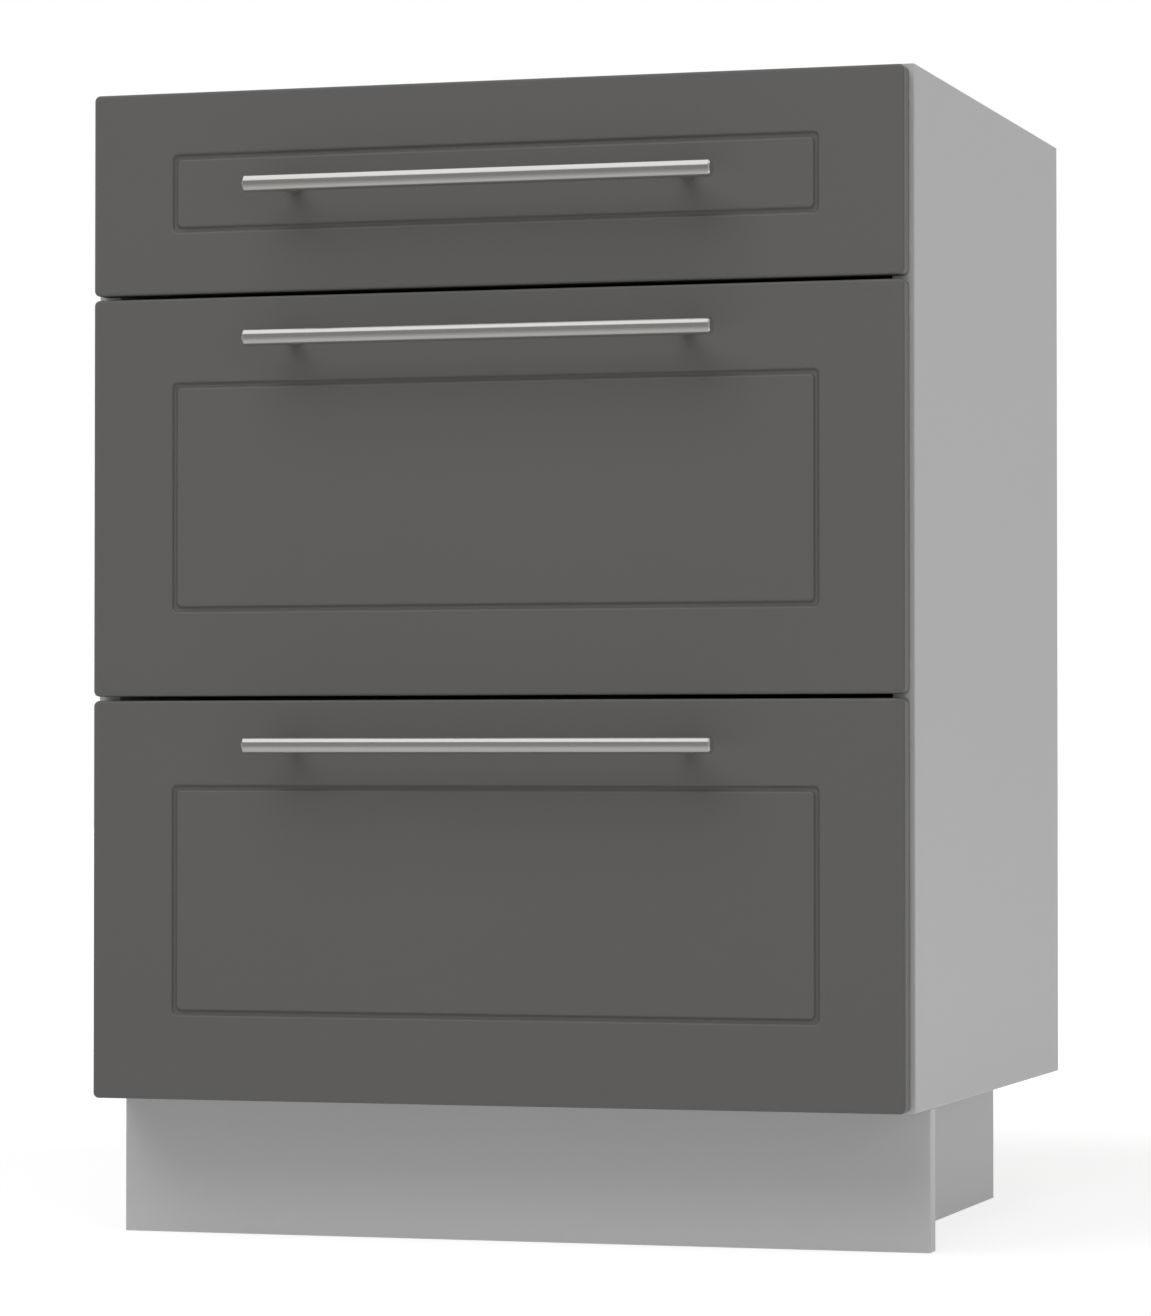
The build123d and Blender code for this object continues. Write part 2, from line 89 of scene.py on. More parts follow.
# ---------------------------------------------------------------- colours and nodes
def linear(hex_colour):
    """An sRGB hex colour as linear red, green, blue and alpha."""
    values = (int(hex_colour[place:place + 2], 16) / 255 for place in (0, 2, 4))
    return tuple(v / 12.92 if v <= 0.04045 else ((v + 0.055) / 1.055) ** 2.4 for v in values) + (1,)


def shaded(colour, share):
    """A colour with its light scaled by a share."""
    return tuple(channel * share for channel in colour[:3]) + (1,)


def per(millimetres):
    """The scale of a pattern whose features are this many millimetres across."""
    return 1 / (millimetres * MM)


def find(sockets, key):
    """A socket by its identifier, which is unique in a node, or else by its name."""
    return next((socket for socket in sockets if socket.identifier == key), None) or sockets[key]


def add(tree, kind, inputs=None, **settings):
    """A new node with its settings, and its inputs as values, nodes or other nodes' outputs."""
    node = tree.nodes.new(kind)
    for name, value in settings.items():
        setattr(node, name, value)
    for key, value in (inputs or {}).items():
        socket = find(node.inputs, key)
        if isinstance(value, bpy.types.Node):
            value = value.outputs[0]
        if isinstance(value, bpy.types.NodeSocket):
            tree.links.new(value, socket)
        else:
            socket.default_value = value
    return node


def start_material(name, inputs):
    """A new material, its tree, its shader with these inputs set, and object coordinates."""
    material = bpy.data.materials.new(name)
    material.use_nodes = True
    tree = material.node_tree
    shader = tree.nodes["Principled BSDF"]
    for key, value in inputs.items():
        shader.inputs[key].default_value = value
    place = add(tree, "ShaderNodeTexCoord").outputs["Object"]
    return material, tree, shader, place


def colour_between(tree, shader, factor, first, second):
    """Blends the shader's base colour from first to second by a factor."""
    blend = add(
        tree,
        "ShaderNodeMix",
        {"Factor_Float": factor, "A_Color": first, "B_Color": second},
        data_type="RGBA",
    )
    tree.links.new(find(blend.outputs, "Result_Color"), shader.inputs["Base Color"])


def relief(tree, shader, height, depth):
    """Raises the surface by a height pattern, to a depth in millimetres."""
    bump = add(tree, "ShaderNodeBump", {"Height": height, "Distance": depth * MM})
    tree.links.new(bump.outputs[0], shader.inputs["Normal"])


# ---------------------------------------------------------------- materials
def matt_lacquer(looks):
    """Front lacquer."""
    # Matt lacquer sprayed on moulded fibreboard: a warm dark grey that drifts very slightly
    # over 220 mm, with a wide soft sheen and a very fine orange peel in cells of 1.2 mm.
    material, tree, shader, place = start_material(
        "matt_lacquer", {"Roughness": looks.lacquer_roughness, "IOR": 1.5}
    )
    cloud = add(tree, "ShaderNodeTexNoise", {"Vector": place, "Scale": per(220), "Detail": 2})
    colour_between(tree, shader, cloud, shaded(looks.lacquer, 1.02), shaded(looks.lacquer, 0.98))
    peel = add(tree, "ShaderNodeTexNoise", {"Vector": place, "Scale": per(1.2), "Detail": 1})
    relief(tree, shader, peel, 0.012)
    return material


def pearl_melamine(looks):
    """Faces of the boards."""
    # Melamine paper pressed on chipboard with a pearl plate: light grey, satin, with shallow
    # cells 0.9 mm across that break up its reflections.
    material, tree, shader, place = start_material(
        "pearl_melamine", {"Roughness": 0.42, "IOR": 1.5}
    )
    pearl = add(tree, "ShaderNodeTexVoronoi", {"Vector": place, "Scale": per(0.9)})
    colour_between(tree, shader, pearl, shaded(looks.melamine, 0.98), looks.melamine)
    relief(tree, shader, pearl, 0.02)
    return material


def abs_edge_band(looks):
    """Banded edges of the boards."""
    # ABS edge band glued on and rounded by a scraper: the board's grey, a little smoother,
    # with faint upright streaks 6 mm long and 0.3 mm wide.
    material, tree, shader, place = start_material(
        "abs_edge_band", {"Roughness": 0.36, "IOR": 1.52}
    )
    streak = add(tree, "ShaderNodeMapping", {"Vector": place, "Scale": (per(0.3), per(0.3), per(6))})
    mark = add(tree, "ShaderNodeTexNoise", {"Vector": streak, "Scale": 1, "Detail": 2})
    colour_between(tree, shader, mark, shaded(looks.melamine, 0.97), shaded(looks.melamine, 1.03))
    relief(tree, shader, mark, 0.006)
    return material


def sawn_chipboard(looks):
    """Edges and bores without a band."""
    # Sawn chipboard: spruce flakes about 1.7 mm across in glue, from straw to brown, open and
    # matt, each broken up by fibres of 0.6 mm.
    material, tree, shader, place = start_material("sawn_chipboard", {"Roughness": 0.85})
    flakes = add(tree, "ShaderNodeTexVoronoi", {"Vector": place, "Scale": per(1.7)})
    tone = add(tree, "ShaderNodeSeparateColor", {"Color": flakes.outputs["Color"]})
    fine = add(tree, "ShaderNodeTexNoise", {"Vector": place, "Scale": per(0.6), "Detail": 3})
    mixed = add(tree, MATHS, {0: tone, 1: fine, 2: 0.12}, operation="MULTIPLY_ADD")
    colour_between(tree, shader, mixed, looks.flake_dark, looks.flake_light)
    relief(tree, shader, mixed, 0.15)
    return material


def raw_fibreboard(looks):
    """Rear face of the back panel."""
    # Raw high-density fibreboard: smooth, mid brown, with clouds of tone 2.5 mm across that
    # break up into felted fibres far finer than that.
    material, tree, shader, place = start_material("raw_fibreboard", {"Roughness": 0.62})
    fibre = add(
        tree, "ShaderNodeTexNoise", {"Vector": place, "Scale": per(2.5), "Detail": 6, "Roughness": 0.7}
    )
    colour_between(tree, shader, fibre, shaded(looks.fibreboard, 0.82), shaded(looks.fibreboard, 1.18))
    relief(tree, shader, fibre, 0.03)
    return material


def white_paper_foil(looks):
    """Inner face of the back panel."""
    # Paper foil printed off-white and lacquered: even and satin, with the fibres beneath it
    # just showing, 3 mm apart.
    material, tree, shader, place = start_material("white_paper_foil", {"Roughness": 0.4, "IOR": 1.5})
    fibre = add(tree, "ShaderNodeTexNoise", {"Vector": place, "Scale": per(3), "Detail": 3})
    colour_between(tree, shader, fibre, shaded(looks.foil, 0.97), looks.foil)
    relief(tree, shader, fibre, 0.01)
    return material


def brushed_stainless_steel(looks):
    """Handle bars and their posts."""
    # Stainless steel, belt-brushed along the bar: bright, with hairlines 40 mm long that
    # spread its highlights round it. Real ones are finer, but are drawn 0.3 mm wide to show.
    material, tree, shader, place = start_material(
        "brushed_stainless_steel", {"Metallic": 1, "Roughness": looks.steel_roughness}
    )
    along = add(
        tree, "ShaderNodeMapping", {"Vector": place, "Scale": (per(40), per(0.3), per(0.3))}
    )
    hair = add(tree, "ShaderNodeTexNoise", {"Vector": along, "Scale": 1, "Detail": 3})
    colour_between(tree, shader, hair, shaded(looks.steel, 0.94), shaded(looks.steel, 1.04))
    relief(tree, shader, hair, 0.004)
    return material


def powder_coated_steel(looks):
    """Drawer sides, runners and gallery rails."""
    # Epoxy powder baked on sheet steel: light grey, half gloss, with an orange peel of 2 mm.
    material, tree, shader, place = start_material(
        "powder_coated_steel", {"Roughness": 0.33, "IOR": 1.5}
    )
    peel = add(tree, "ShaderNodeTexNoise", {"Vector": place, "Scale": per(2), "Detail": 2})
    colour_between(tree, shader, peel, shaded(looks.powder, 0.97), looks.powder)
    relief(tree, shader, peel, 0.03)
    return material


def bright_zinc_plating(looks):
    """Screws, brackets, cams and axles."""
    # Bright zinc plating on steel: bluish silver, slightly cloudy, in patches of 4 mm.
    material, tree, shader, place = start_material(
        "bright_zinc_plating", {"Metallic": 1, "Roughness": 0.34}
    )
    cloud = add(tree, "ShaderNodeTexNoise", {"Vector": place, "Scale": per(4), "Detail": 4})
    colour_between(tree, shader, cloud, shaded(looks.zinc, 0.88), shaded(looks.zinc, 1.08))
    relief(tree, shader, cloud, 0.01)
    return material


def natural_nylon(looks):
    """Rollers."""
    # Natural nylon, injection moulded: milky white and waxy, with light soaking 2 mm into it
    # and faint flow marks 5 mm across.
    material, tree, shader, place = start_material(
        "natural_nylon",
        {"Roughness": 0.42, "IOR": 1.53, "Subsurface Weight": 0.15, "Subsurface Scale": 2 * MM},
    )
    flow = add(tree, "ShaderNodeTexNoise", {"Vector": place, "Scale": per(5), "Detail": 2})
    colour_between(tree, shader, flow, shaded(looks.nylon, 0.95), looks.nylon)
    relief(tree, shader, flow, 0.01)
    return material


def spark_textured_plastic(looks):
    """Corner blocks of the plinth and bumpers behind the fronts."""
    # Polypropylene from a spark-eroded mould: light grey and matt, with a grit of 0.5 mm.
    material, tree, shader, place = start_material(
        "spark_textured_plastic", {"Roughness": 0.55, "IOR": 1.49}
    )
    grit = add(tree, "ShaderNodeTexNoise", {"Vector": place, "Scale": per(0.5), "Detail": 2})
    colour_between(tree, shader, grit, shaded(looks.plastic, 0.95), looks.plastic)
    relief(tree, shader, grit, 0.04)
    return material


def turned_beech(looks):
    """Dowels."""
    # Beech, turned along its grain, which runs across the cabinet: pale and pinkish, with
    # darker streaks 12 mm long and 1 mm apart.
    material, tree, shader, place = start_material("turned_beech", {"Roughness": 0.6})
    along = add(tree, "ShaderNodeMapping", {"Vector": place, "Scale": (per(12), per(1), per(1))})
    grain = add(tree, "ShaderNodeTexNoise", {"Vector": along, "Scale": 1, "Detail": 5})
    colour_between(tree, shader, grain, shaded(looks.beech, 0.75), shaded(looks.beech, 1.15))
    relief(tree, shader, grain, 0.05)
    return material


def finish(maker):
    """The material that a maker gives, which has the maker's name and is made once."""
    return bpy.data.materials.get(maker.__name__) or maker(bpy.context.scene.cabinet_looks)


# ---------------------------------------------------------------- meshes
def node_mesh(node):
    """A merged copy of a CAD node's mesh, its flat faces whole, as a bmesh."""
    copy = bmesh.new()
    copy.from_mesh(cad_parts[node].data)
    bmesh.ops.remove_doubles(copy, verts=copy.verts, dist=MERGE)
    bmesh.ops.dissolve_limit(copy, angle_limit=FLAT, verts=copy.verts, edges=copy.edges)
    return copy


def new_object(name, data):
    """A new object in the scene, which holds a mesh, a lamp or a camera."""
    holder = bpy.data.objects.new(name, data)
    bpy.context.scene.collection.objects.link(holder)
    return holder


def make_piece(shape, name, body, nodes, slot, materials, sharp=40):
    """Turns a bmesh into a piece that rides on a body, creased where it turns over `sharp` degrees."""
    mesh = bpy.data.meshes.new(name)
    shape.to_mesh(mesh)
    shape.free()
    for polygon in mesh.polygons:
        polygon.use_smooth = True
    mesh.set_sharp_from_angle(angle=math.radians(sharp))
    for material in materials:
        mesh.materials.append(material)
    piece = new_object(name, mesh)
    even = piece.modifiers.new("Even shading", "WEIGHTED_NORMAL")
    even.keep_sharp = True
    even.weight = LARGE_FACES
    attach(piece, body)
    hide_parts(*nodes)
    return piece


def repaint(node, material):
    """Gives a CAD node that stays as it is a better material."""
    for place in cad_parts[node].material_slots:
        place.material = material


def evaluated_mesh(piece):
    """The mesh that a piece's modifiers give, as a plain mesh."""
    graph = bpy.context.evaluated_depsgraph_get()
    return bpy.data.meshes.new_from_object(piece.evaluated_get(graph))


def rounded_outline(centre, half_width, half_height, radius, y, steps):
    """Points of an upright rounded rectangle, anticlockwise as seen from the front."""
    points = []
    for quarter, (right, up) in enumerate(((1, 1), (-1, 1), (-1, -1), (1, -1))):
        corner_x = centre[0] + right * (half_width - radius)
        corner_z = centre[1] + up * (half_height - radius)
        for step in range(steps + 1):
            angle = math.pi / 2 * (quarter + step / steps)
            x = corner_x + radius * math.cos(angle)
            z = corner_z + radius * math.sin(angle)
            points.append(Vector((x, y, z)))
    return points


def loft(shape, outlines):
    """Closed solid through outlines that have as many points each, with flat ends."""
    rings = [[shape.verts.new(point) for point in outline] for outline in outlines]
    count = len(rings[0])
    for first, second in zip(rings, rings[1:]):
        for here in range(count):
            there = (here + 1) % count
            shape.faces.new((first[here], first[there], second[there], second[here]))
    shape.faces.new(reversed(rings[0]))
    shape.faces.new(rings[-1])


# ---------------------------------------------------------------- settings
def number_setting(name, description, default, **kind):
    """A number that the user can change, with its unit, subtype or limits."""
    return bpy.props.FloatProperty(name=name, description=description, default=default, **kind)


def length_setting(name, description, default):
    """A length that the user can change."""
    return number_setting(name, description, default, unit="LENGTH")


def share_setting(name, description, default):
    """A share from 0 to 1 that the user can change."""
    return number_setting(name, description, default, subtype="FACTOR", min=0, max=1)


def colour_setting(name, description, hex_colour):
    """A colour that the user can change."""
    return bpy.props.FloatVectorProperty(
        name=name,
        description=description,
        subtype="COLOR",
        size=4,
        min=0,
        max=1,
        default=linear(hex_colour),
    )


class CABINET_PG_looks(bpy.types.PropertyGroup):
    """Colours and sheen of the cabinet's finishes."""

    lacquer: colour_setting("Front lacquer", "Matt lacquer of the drawer fronts", "565553")
    lacquer_roughness: share_setting(
        "Lacquer roughness", "How widely the lacquer spreads a highlight", 0.5
    )
    melamine: colour_setting("Board", "Melamine faces and edge bands of the boards", "ADADAD")
    flake_dark: colour_setting("Dark flakes", "Darkest flakes in the sawn chipboard", "7A5C3A")
    flake_light: colour_setting("Light flakes", "Lightest flakes in the sawn chipboard", "E3CBA2")
    fibreboard: colour_setting("Raw fibreboard", "Rear face of the back panel", "9A7650")
    foil: colour_setting("White foil", "Inner face of the back panel", "D8D8D5")
    steel: colour_setting("Handle steel", "Brushed stainless steel of the handles", "E0DFDC")
    steel_roughness: share_setting(
        "Steel roughness", "How widely the handles spread a highlight", 0.22
    )
    powder: colour_setting("Powder coat", "Drawer sides, runners and gallery rails", "B6B7B9")
    zinc: colour_setting("Zinc plating", "Screws, brackets, cams and axles", "C2C4C6")
    nylon: colour_setting("Nylon", "Rollers", "E4E3DC")
    plastic: colour_setting(
        "Moulded plastic", "Corner blocks of the plinth and bumpers behind the fronts", "C9C9C9"
    )
    beech: colour_setting("Beech", "Dowels", "C9A67C")


class CABINET_PG_front(bpy.types.PropertyGroup):
    """Moulding of a drawer front."""

    corner: length_setting(
        "Corner radius", "Radius of the front's corners, as seen from the front", 4 * MM
    )
    rounding: length_setting("Edge rounding", "Radius of the edges round the front face", 2 * MM)
    back_rounding: length_setting(
        "Back edge rounding", "Radius of the edges round the back face", 0.8 * MM
    )
    groove_depth: length_setting("Groove depth", "Depth of the routed groove", 2.4 * MM)
    groove_lip: length_setting(
        "Groove lip", "Rounding where the groove's slopes meet the front face", 2 * MM
    )
    groove_foot: length_setting("Groove foot", "Rounding at the bottom of the groove", 1.6 * MM)
    groove_corner: length_setting(
        "Groove corner", "Radius of the groove's corners, halfway down its slopes", 3.5 * MM
    )
    groove_halfway: length_setting(
        "Groove halfway", "From the middle of the groove to halfway down its slopes", 1.5 * MM
    )
    groove_inset: length_setting(
        "Groove inset", "From the ends of every front, and the top and bottom of a deep one", 62 * MM
    )
    low_groove_inset: length_setting(
        "Groove inset, low front", "From the top and bottom of the low front", 46 * MM
    )


class CABINET_PG_handle(bpy.types.PropertyGroup):
    """Bar of a handle."""

    rounding: length_setting("Rounding", "Radius of the four edges along the bar", 5.6 * MM)
    chamfer: length_setting("Chamfer", "Ground edge round both ends of the bar", 1 * MM)
    steps: bpy.props.IntProperty(
        name="Steps", description="Facets round each edge of the bar", min=2, max=64, default=16
    )


class CABINET_PG_screw(bpy.types.PropertyGroup):
    """Countersunk chipboard screw."""

    head_radius: length_setting("Head radius", "Radius of the head", 3.5 * MM)
    head_height: length_setting("Head height", "Height of the countersunk cone", 1.75 * MM)
    shank_radius: length_setting("Shank radius", "Radius of the shank", 1.75 * MM)
    point: length_setting("Point", "Length of the point", 3 * MM)
    recess: length_setting("Recess", "Width of the cross recess", 4 * MM)
    slot: length_setting("Slot", "Width of each arm of the cross", 0.9 * MM)


class CABINET_PG_stage(bpy.types.PropertyGroup):
    """Camera, floor and light."""

    camera_place: bpy.props.FloatVectorProperty(
        name="Camera place",
        description="Where the photograph was taken from",
        subtype="TRANSLATION",
        unit="LENGTH",
        default=(1.0640, -3.5825, 0.3416),
    )
    camera_yaw: number_setting(
        "Camera yaw",
        "Turn of the camera to the left of straight at the fronts",
        math.radians(16.671),
        subtype="ANGLE",
    )
    camera_pitch: number_setting(
        "Camera pitch", "Tilt of the camera above the horizon", math.radians(1.165), subtype="ANGLE"
    )
    floor_reach: length_setting("Floor reach", "From the cabinet to the edges of the floor", 20)
    sky: number_setting("Sky", "Strength of the even light from above", 0.4, min=0)
    horizon: number_setting("Horizon", "Strength of the even light from the sides", 0.04, min=0)
    glow: number_setting("Floor glow", "Strength of the light from the lit floor", 0.385, min=0)
    key: number_setting("Key", "Power of the lamp at the upper left", 105, unit="POWER")
    top: number_setting("Top", "Power of the lamp high in front", 150, unit="POWER")
    fill: number_setting("Fill", "Power of the low lamp at the right", 62, unit="POWER")


# ---------------------------------------------------------------- boards
BOARDS = {
    # piece's node: body, slot, axis of its thickness, and the edges that are banded
    "side_panel_left": ("carcass", "carcass_board", 0, ("-y", "-z")),
    "side_panel_right": ("carcass", "carcass_board", 0, ("-y", "-z")),
    "bottom_panel": ("carcass", "carcass_board", 2, ("-y",)),
    "top_rail_front": ("carcass", "carcass_board", 2, ("-y",)),
    "top_rail_rear": ("carcass", "carcass_board", 2, ()),
    "plinth_front": ("carcass", "plinth_board", 1, ("-x", "+x", "+z", "-z")),
    "plinth_side_left": ("carcass", "plinth_board", 0, ("+y", "-z")),
    "plinth_side_right": ("carcass", "plinth_board", 0, ("+y", "-z")),
    "plinth_rear": ("carcass", "plinth_board", 1, ("-z",)),
    **{f"{d}_drawer_bottom": (f"{d}_drawer", "drawer_board", 2, ()) for d in DRAWERS},
    **{f"{d}_drawer_back": (f"{d}_drawer", "drawer_board", 1, ("+z",)) for d in DRAWERS},
}
EDGE_ZONE = 0.9 * MM  # a board's rounded edges lie within this of its faces
FACE, BAND, SAWN = range(3)


def board_finish(centre, low, high, thickness, banded):
    """Which finish a face of a board has, from where its middle lies in the board's box."""
    for edge in banded:
        axis = "xyz".index(edge[1])
        away = high[axis] - centre[axis] if edge[0] == "+" else centre[axis] - low[axis]
        if away < EDGE_ZONE:
            return BAND
    if min(high[thickness] - centre[thickness], centre[thickness] - low[thickness]) < EDGE_ZONE:
        return FACE
    return SAWN


class CABINET_OT_boards(bpy.types.Operator):
    """Gives every board its pressed faces, its banded edges and its sawn edges"""

    bl_idname = "cabinet.boards"
    bl_label = "Boards"

    def execute(self, context):
        materials = [finish(pearl_melamine), finish(abs_edge_band), finish(sawn_chipboard)]
        for node, (body, slot, thickness, banded) in BOARDS.items():
            low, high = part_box(node)
            shape = node_mesh(node)
            for face in shape.faces:
                centre = face.calc_center_median()
                face.material_index = board_finish(centre, low, high, thickness, banded)
            make_piece(shape, f"{node}_board", body, [node], slot, materials, sharp=55)
        return {"FINISHED"}


FACES_FRONT = -0.5  # a face whose normal's Y is below this looks to the front


class CABINET_OT_back_panel(bpy.types.Operator):
    """Gives the thin back panel its white inner face and its raw rear face"""

    bl_idname = "cabinet.back_panel"
    bl_label = "Back panel"

    def execute(self, context):
        shape = node_mesh("back_panel")
        for face in shape.faces:
            face.material_index = int(face.normal.y > FACES_FRONT)
        materials = [finish(white_paper_foil), finish(raw_fibreboard)]
        make_piece(shape, "back_panel_sheet", "carcass", ["back_panel"], "back_board", materials)
        return {"FINISHED"}


# ---------------------------------------------------------------- drawer fronts
ARC_STEPS = 8  # in each quarter or slope


def groove_section(moulding):
    """(distance from the groove's middle, depth) down one of its slopes, face to bottom."""
    lip = moulding.groove_lip
    foot = moulding.groove_foot
    # the two arcs meet at the slope that makes the groove as deep as it is
    slope = math.acos(1 - moulding.groove_depth / (lip + foot))
    edge = (lip + foot) * math.sin(slope)
    turns = [slope * step / ARC_STEPS for step in range(ARC_STEPS + 1)]
    over = [(edge - lip * math.sin(turn), lip * (1 - math.cos(turn))) for turn in turns]
    down = [
        (foot * math.sin(turn), moulding.groove_depth - foot * (1 - math.cos(turn)))
        for turn in reversed(turns)
    ]
    return over + down[1:]


def front_outlines(low, high, moulding, inset_z):
    """Outlines of a moulded front from its back face to the panel inside its groove."""
    centre = ((low.x + high.x) / 2, (low.z + high.z) / 2)
    half_x = (high.x - low.x) / 2
    half_z = (high.z - low.z) / 2
    rings = []
    for step in range(ARC_STEPS + 1):
        angle = math.pi / 2 * step / ARC_STEPS
        inset = moulding.back_rounding * (1 - math.sin(angle))
        rings.append((inset, high.y - moulding.back_rounding * (1 - math.cos(angle))))
    for step in range(ARC_STEPS + 1):
        angle = math.pi / 2 * step / ARC_STEPS
        inset = moulding.rounding * (1 - math.cos(angle))
        rings.append((inset, low.y + moulding.rounding * (1 - math.sin(angle))))
    outlines = [
        rounded_outline(
            centre, half_x - inset, half_z - inset, moulding.corner - inset, y, ARC_STEPS
        )
        for inset, y in rings
    ]
    groove_x = half_x - moulding.groove_inset
    groove_z = half_z - inset_z
    half_groove = groove_section(moulding)
    for side, points in ((1, half_groove), (-1, reversed(half_groove))):
        for away, depth in points:
            radius = moulding.groove_corner + side * (away - moulding.groove_halfway)
            outlines.append(
                rounded_outline(
                    centre,
                    groove_x + side * away,
                    groove_z + side * away,
                    radius,
                    low.y + depth,
                    ARC_STEPS,
                )
            )
    return outlines


class CABINET_OT_fronts(bpy.types.Operator):
    """Makes the three moulded drawer fronts"""

    bl_idname = "cabinet.fronts"
    bl_label = "Drawer fronts"

    def execute(self, context):
        moulding = context.scene.cabinet_front
        for drawer in DRAWERS:
            node = f"{drawer}_drawer_front"
            low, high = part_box(node)
            inset_z = moulding.low_groove_inset if drawer == "top" else moulding.groove_inset
            shape = bmesh.new()
            loft(shape, front_outlines(low, high, moulding, inset_z))
            make_piece(
                shape,
                f"{node}_moulding",
                f"{drawer}_drawer",
                [node],
                "front_lacquer",
                [finish(matt_lacquer)],
            )
        return {"FINISHED"}


# ---------------------------------------------------------------- geometry trees
BAR_RINGS = 4  # along a bar: chamfered end, shoulder, shoulder, chamfered end
SCREW_SIDES = 32
SCREW_TIP = 0.15  # share of the shank's radius that is left at the point
SAME = 0.1  # ring numbers nearer than this are the same
SOCKET_KINDS = {
    "Geometry": "NodeSocketGeometry",
    "Material": "NodeSocketMaterial",
    "Steps": "NodeSocketInt",
}


def start_tree(name, sizes):
    """A geometry tree with these named sizes as inputs, and its input sockets."""
    tree = bpy.data.node_groups.new(name, "GeometryNodeTree")
    for socket in ("Geometry", *sizes, "Material"):
        kind = SOCKET_KINDS.get(socket, "NodeSocketFloat")
        tree.interface.new_socket(socket, in_out="INPUT", socket_type=kind)
    tree.interface.new_socket("Geometry", in_out="OUTPUT", socket_type="NodeSocketGeometry")
    return tree, add(tree, "NodeGroupInput").outputs


def end_tree(tree, given, geometry):
    """Makes the tree's geometry real, paints it and gives it out."""
    whole = add(tree, "GeometryNodeRealizeInstances", {"Geometry": geometry})
    painted = add(
        tree, "GeometryNodeSetMaterial", {"Geometry": whole, "Material": given["Material"]}
    )
    add(tree, "NodeGroupOutput", {"Geometry": painted})
    return tree


def swept(tree, line, scale, profile):
    """A closed tube along a line, its profile scaled at each of the line's points."""
    curve = add(tree, "GeometryNodeMeshToCurve", {"Mesh": line})
    return add(
        tree,
        "GeometryNodeCurveToMesh",
        {"Curve": curve, "Profile Curve": profile, "Scale": scale, "Fill Caps": True},
    )


def bar_tree():
    """A bar along X with rounded edges and a chamfer round both ends."""
    sizes = ("Length", "Height", "Thickness", "Rounding", "Chamfer", "Steps")
    tree, given = start_tree("Chamfered bar", sizes)
    # a ring's number from the middle of the bar says whether it is an end, and on which side
    index = add(tree, "GeometryNodeInputIndex")
    middle = add(tree, MATHS, {0: index, 1: (BAR_RINGS - 1) / 2}, operation="SUBTRACT")
    away = add(tree, MATHS, {0: middle}, operation="ABSOLUTE")
    is_end = add(tree, MATHS, {0: away, 1: BAR_RINGS / 2 - 1}, operation="GREATER_THAN")
    half = add(tree, MATHS, {0: given["Length"], 1: 0.5}, operation="MULTIPLY")
    shoulder = add(tree, MATHS, {0: half, 1: given["Chamfer"]}, operation="SUBTRACT")
    ends = {0: is_end, 1: given["Chamfer"], 2: shoulder}
    along = add(tree, MATHS, ends, operation="MULTIPLY_ADD")
    side = add(tree, MATHS, {0: middle}, operation="SIGN")
    x = add(tree, MATHS, {0: along, 1: side}, operation="MULTIPLY")
    rings = add(tree, "GeometryNodeMeshLine", {"Count": BAR_RINGS})
    place = add(tree, "ShaderNodeCombineXYZ", {"X": x})
    line = add(tree, "GeometryNodeSetPosition", {"Geometry": rings, "Position": place})
    # the chamfer takes the same share off the height and the thickness of both ends
    half_height = add(tree, MATHS, {0: given["Height"], 1: 0.5}, operation="MULTIPLY")
    ground = add(tree, MATHS, {0: given["Chamfer"], 1: half_height}, operation="DIVIDE")
    taken = add(tree, MATHS, {0: is_end, 1: ground}, operation="MULTIPLY")
    scale = add(tree, MATHS, {0: 1.0, 1: taken}, operation="SUBTRACT")
    section = add(
        tree,
        "GeometryNodeCurvePrimitiveQuadrilateral",
        {"Width": given["Height"], "Height": given["Thickness"]},
    )
    rounded = add(
        tree,
        "GeometryNodeFilletCurve",
        {"Curve": section, "Count": given["Steps"], "Radius": given["Rounding"]},
        mode="POLY",
    )
    return end_tree(tree, given, swept(tree, line, scale, rounded))


